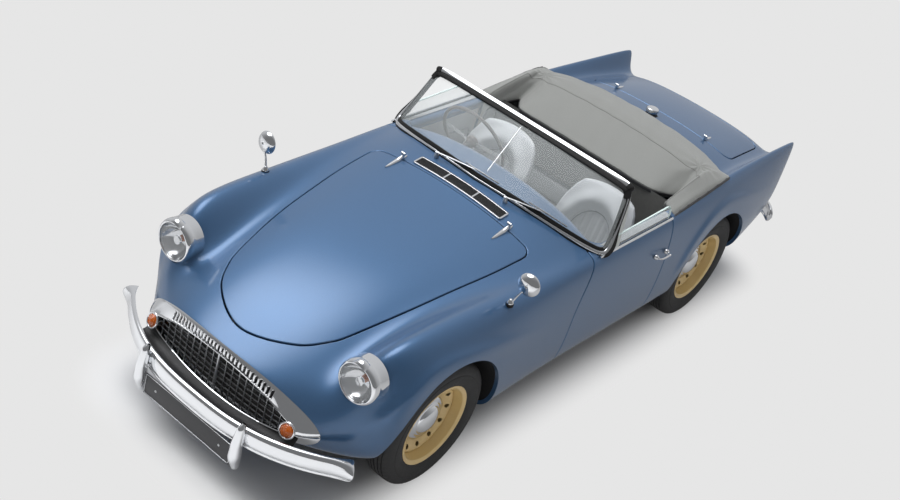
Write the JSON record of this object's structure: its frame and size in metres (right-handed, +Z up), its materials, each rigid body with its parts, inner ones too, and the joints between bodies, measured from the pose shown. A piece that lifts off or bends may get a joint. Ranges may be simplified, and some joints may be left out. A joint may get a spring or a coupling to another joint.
{
  "type": "roadster convertible",
  "caption": "Low two-seat open roadster with tail fins, an oval grille, a raked curved windscreen and its hood folded under a cover.",
  "frame": {"origin": "on the ground under the middle of the car's bounding box", "axes": "+X towards the car's left side, +Y towards the tail, +Z up"},
  "size_m": [1.524, 4.0795, 1.1623],
  "materials": {
    "paint": "gloss",
    "chassis_paint": "satin",
    "chrome": "polished",
    "glass": "gloss",
    "leather": "satin",
    "fabric": "matte",
    "trim": "satin",
    "wheel_paint": "gloss",
    "rubber": "matte",
    "cast_iron": "matte",
    "amber": "gloss",
    "red_lens": "gloss",
    "plate_black": "satin"
  },
  "bodies": {
    "body": {"front_body": "paint", "rear_body": "paint", "chassis": "chassis_paint", "floor_tub": "trim", "engine_and_gearbox": "cast_iron", "rear_axle": "chassis_paint", "leaf_springs": "chassis_paint", "exhausts": "chassis_paint", "front_suspension": "chassis_paint", "windscreen_frame": "chrome", "windscreen_glass": "glass", "wipers": "chrome", "seat_left": "leather", "seat_right": "leather", "rear_seat": "leather", "dashboard": "paint", "steering_column": "trim", "hood_cover": "fabric", "front_bumper": "chrome", "rear_bumpers": "chrome", "front_plate": "plate_black", "grille_surround": "chrome", "grille_mesh": "chrome", "indicators": "amber", "headlamps": "glass", "tail_lamps": "red_lens", "scuttle_vent": "chrome", "wing_mirrors": "chrome", "fuel_cap": "chrome"},
    "left_knuckle": {"knuckle_left": "cast_iron"},
    "right_knuckle": {"knuckle_right": "cast_iron"},
    "front_left_wheel": {"wheel_front_left": "wheel_paint", "tyre_front_left": "rubber"},
    "front_right_wheel": {"wheel_front_right": "wheel_paint", "tyre_front_right": "rubber"},
    "rear_left_wheel": {"wheel_rear_left": "wheel_paint", "tyre_rear_left": "rubber"},
    "rear_right_wheel": {"wheel_rear_right": "wheel_paint", "tyre_rear_right": "rubber"},
    "wheel_at_driver": {"steering_wheel": "trim"},
    "left_door": {"door_left": "paint", "door_handle_left": "chrome", "door_glass_left": "glass"},
    "right_door": {"door_right": "paint", "door_handle_right": "chrome", "door_glass_right": "glass"},
    "front_lid": {"bonnet": "paint", "bonnet_hinges": "chrome"},
    "rear_lid": {"boot_lid": "paint", "boot_hinges": "chrome"}
  },
  "joints": [
    {"name": "steer_left", "type": "hinge", "parent": "body", "child": "left_knuckle", "pos_m": [0.56, -1.2, 0.32], "axis": [0, 0, 1], "range_deg": [-30, 30]},
    {"name": "steer_right", "type": "hinge", "parent": "body", "child": "right_knuckle", "pos_m": [-0.56, -1.2, 0.32], "axis": [0, 0, 1], "range_deg": [-30, 30]},
    {"name": "steering_wheel_turn", "type": "hinge", "parent": "body", "child": "wheel_at_driver", "pos_m": [-0.352, 0.135, 0.838], "axis": [0, 0.9135, 0.4067], "range_deg": [-480, 480]},
    {"name": "front_left_spin", "type": "hinge", "parent": "left_knuckle", "child": "front_left_wheel", "pos_m": [0.635, -1.2, 0.32], "axis": [1, 0, 0], "continuous": true},
    {"name": "front_right_spin", "type": "hinge", "parent": "right_knuckle", "child": "front_right_wheel", "pos_m": [-0.635, -1.2, 0.32], "axis": [1, 0, 0], "continuous": true},
    {"name": "rear_left_spin", "type": "hinge", "parent": "body", "child": "rear_left_wheel", "pos_m": [0.6095, 1.137, 0.32], "axis": [1, 0, 0], "continuous": true},
    {"name": "rear_right_spin", "type": "hinge", "parent": "body", "child": "rear_right_wheel", "pos_m": [-0.6095, 1.137, 0.32], "axis": [1, 0, 0], "continuous": true},
    {"name": "door_left_hinge", "type": "hinge", "parent": "body", "child": "left_door", "pos_m": [0.724, -0.288, 0.5], "axis": [0, 0, -1], "range_deg": [0, 62]},
    {"name": "door_right_hinge", "type": "hinge", "parent": "body", "child": "right_door", "pos_m": [-0.724, -0.288, 0.5], "axis": [0, 0, 1], "range_deg": [0, 62]},
    {"name": "bonnet_hinge", "type": "hinge", "parent": "body", "child": "front_lid", "pos_m": [0, -0.474, 0.934], "axis": [-1, 0, 0], "range_deg": [0, 50]},
    {"name": "boot_hinge", "type": "hinge", "parent": "body", "child": "rear_lid", "pos_m": [0, 1.429, 0.894], "axis": [1, 0, 0], "range_deg": [0, 55]}
  ],
  "couplings": [
    {"joint": "steer_right", "follows": "steer_left", "ratio": 1},
    {"joint": "steering_wheel_turn", "follows": "steer_left", "ratio": 15}
  ]
}
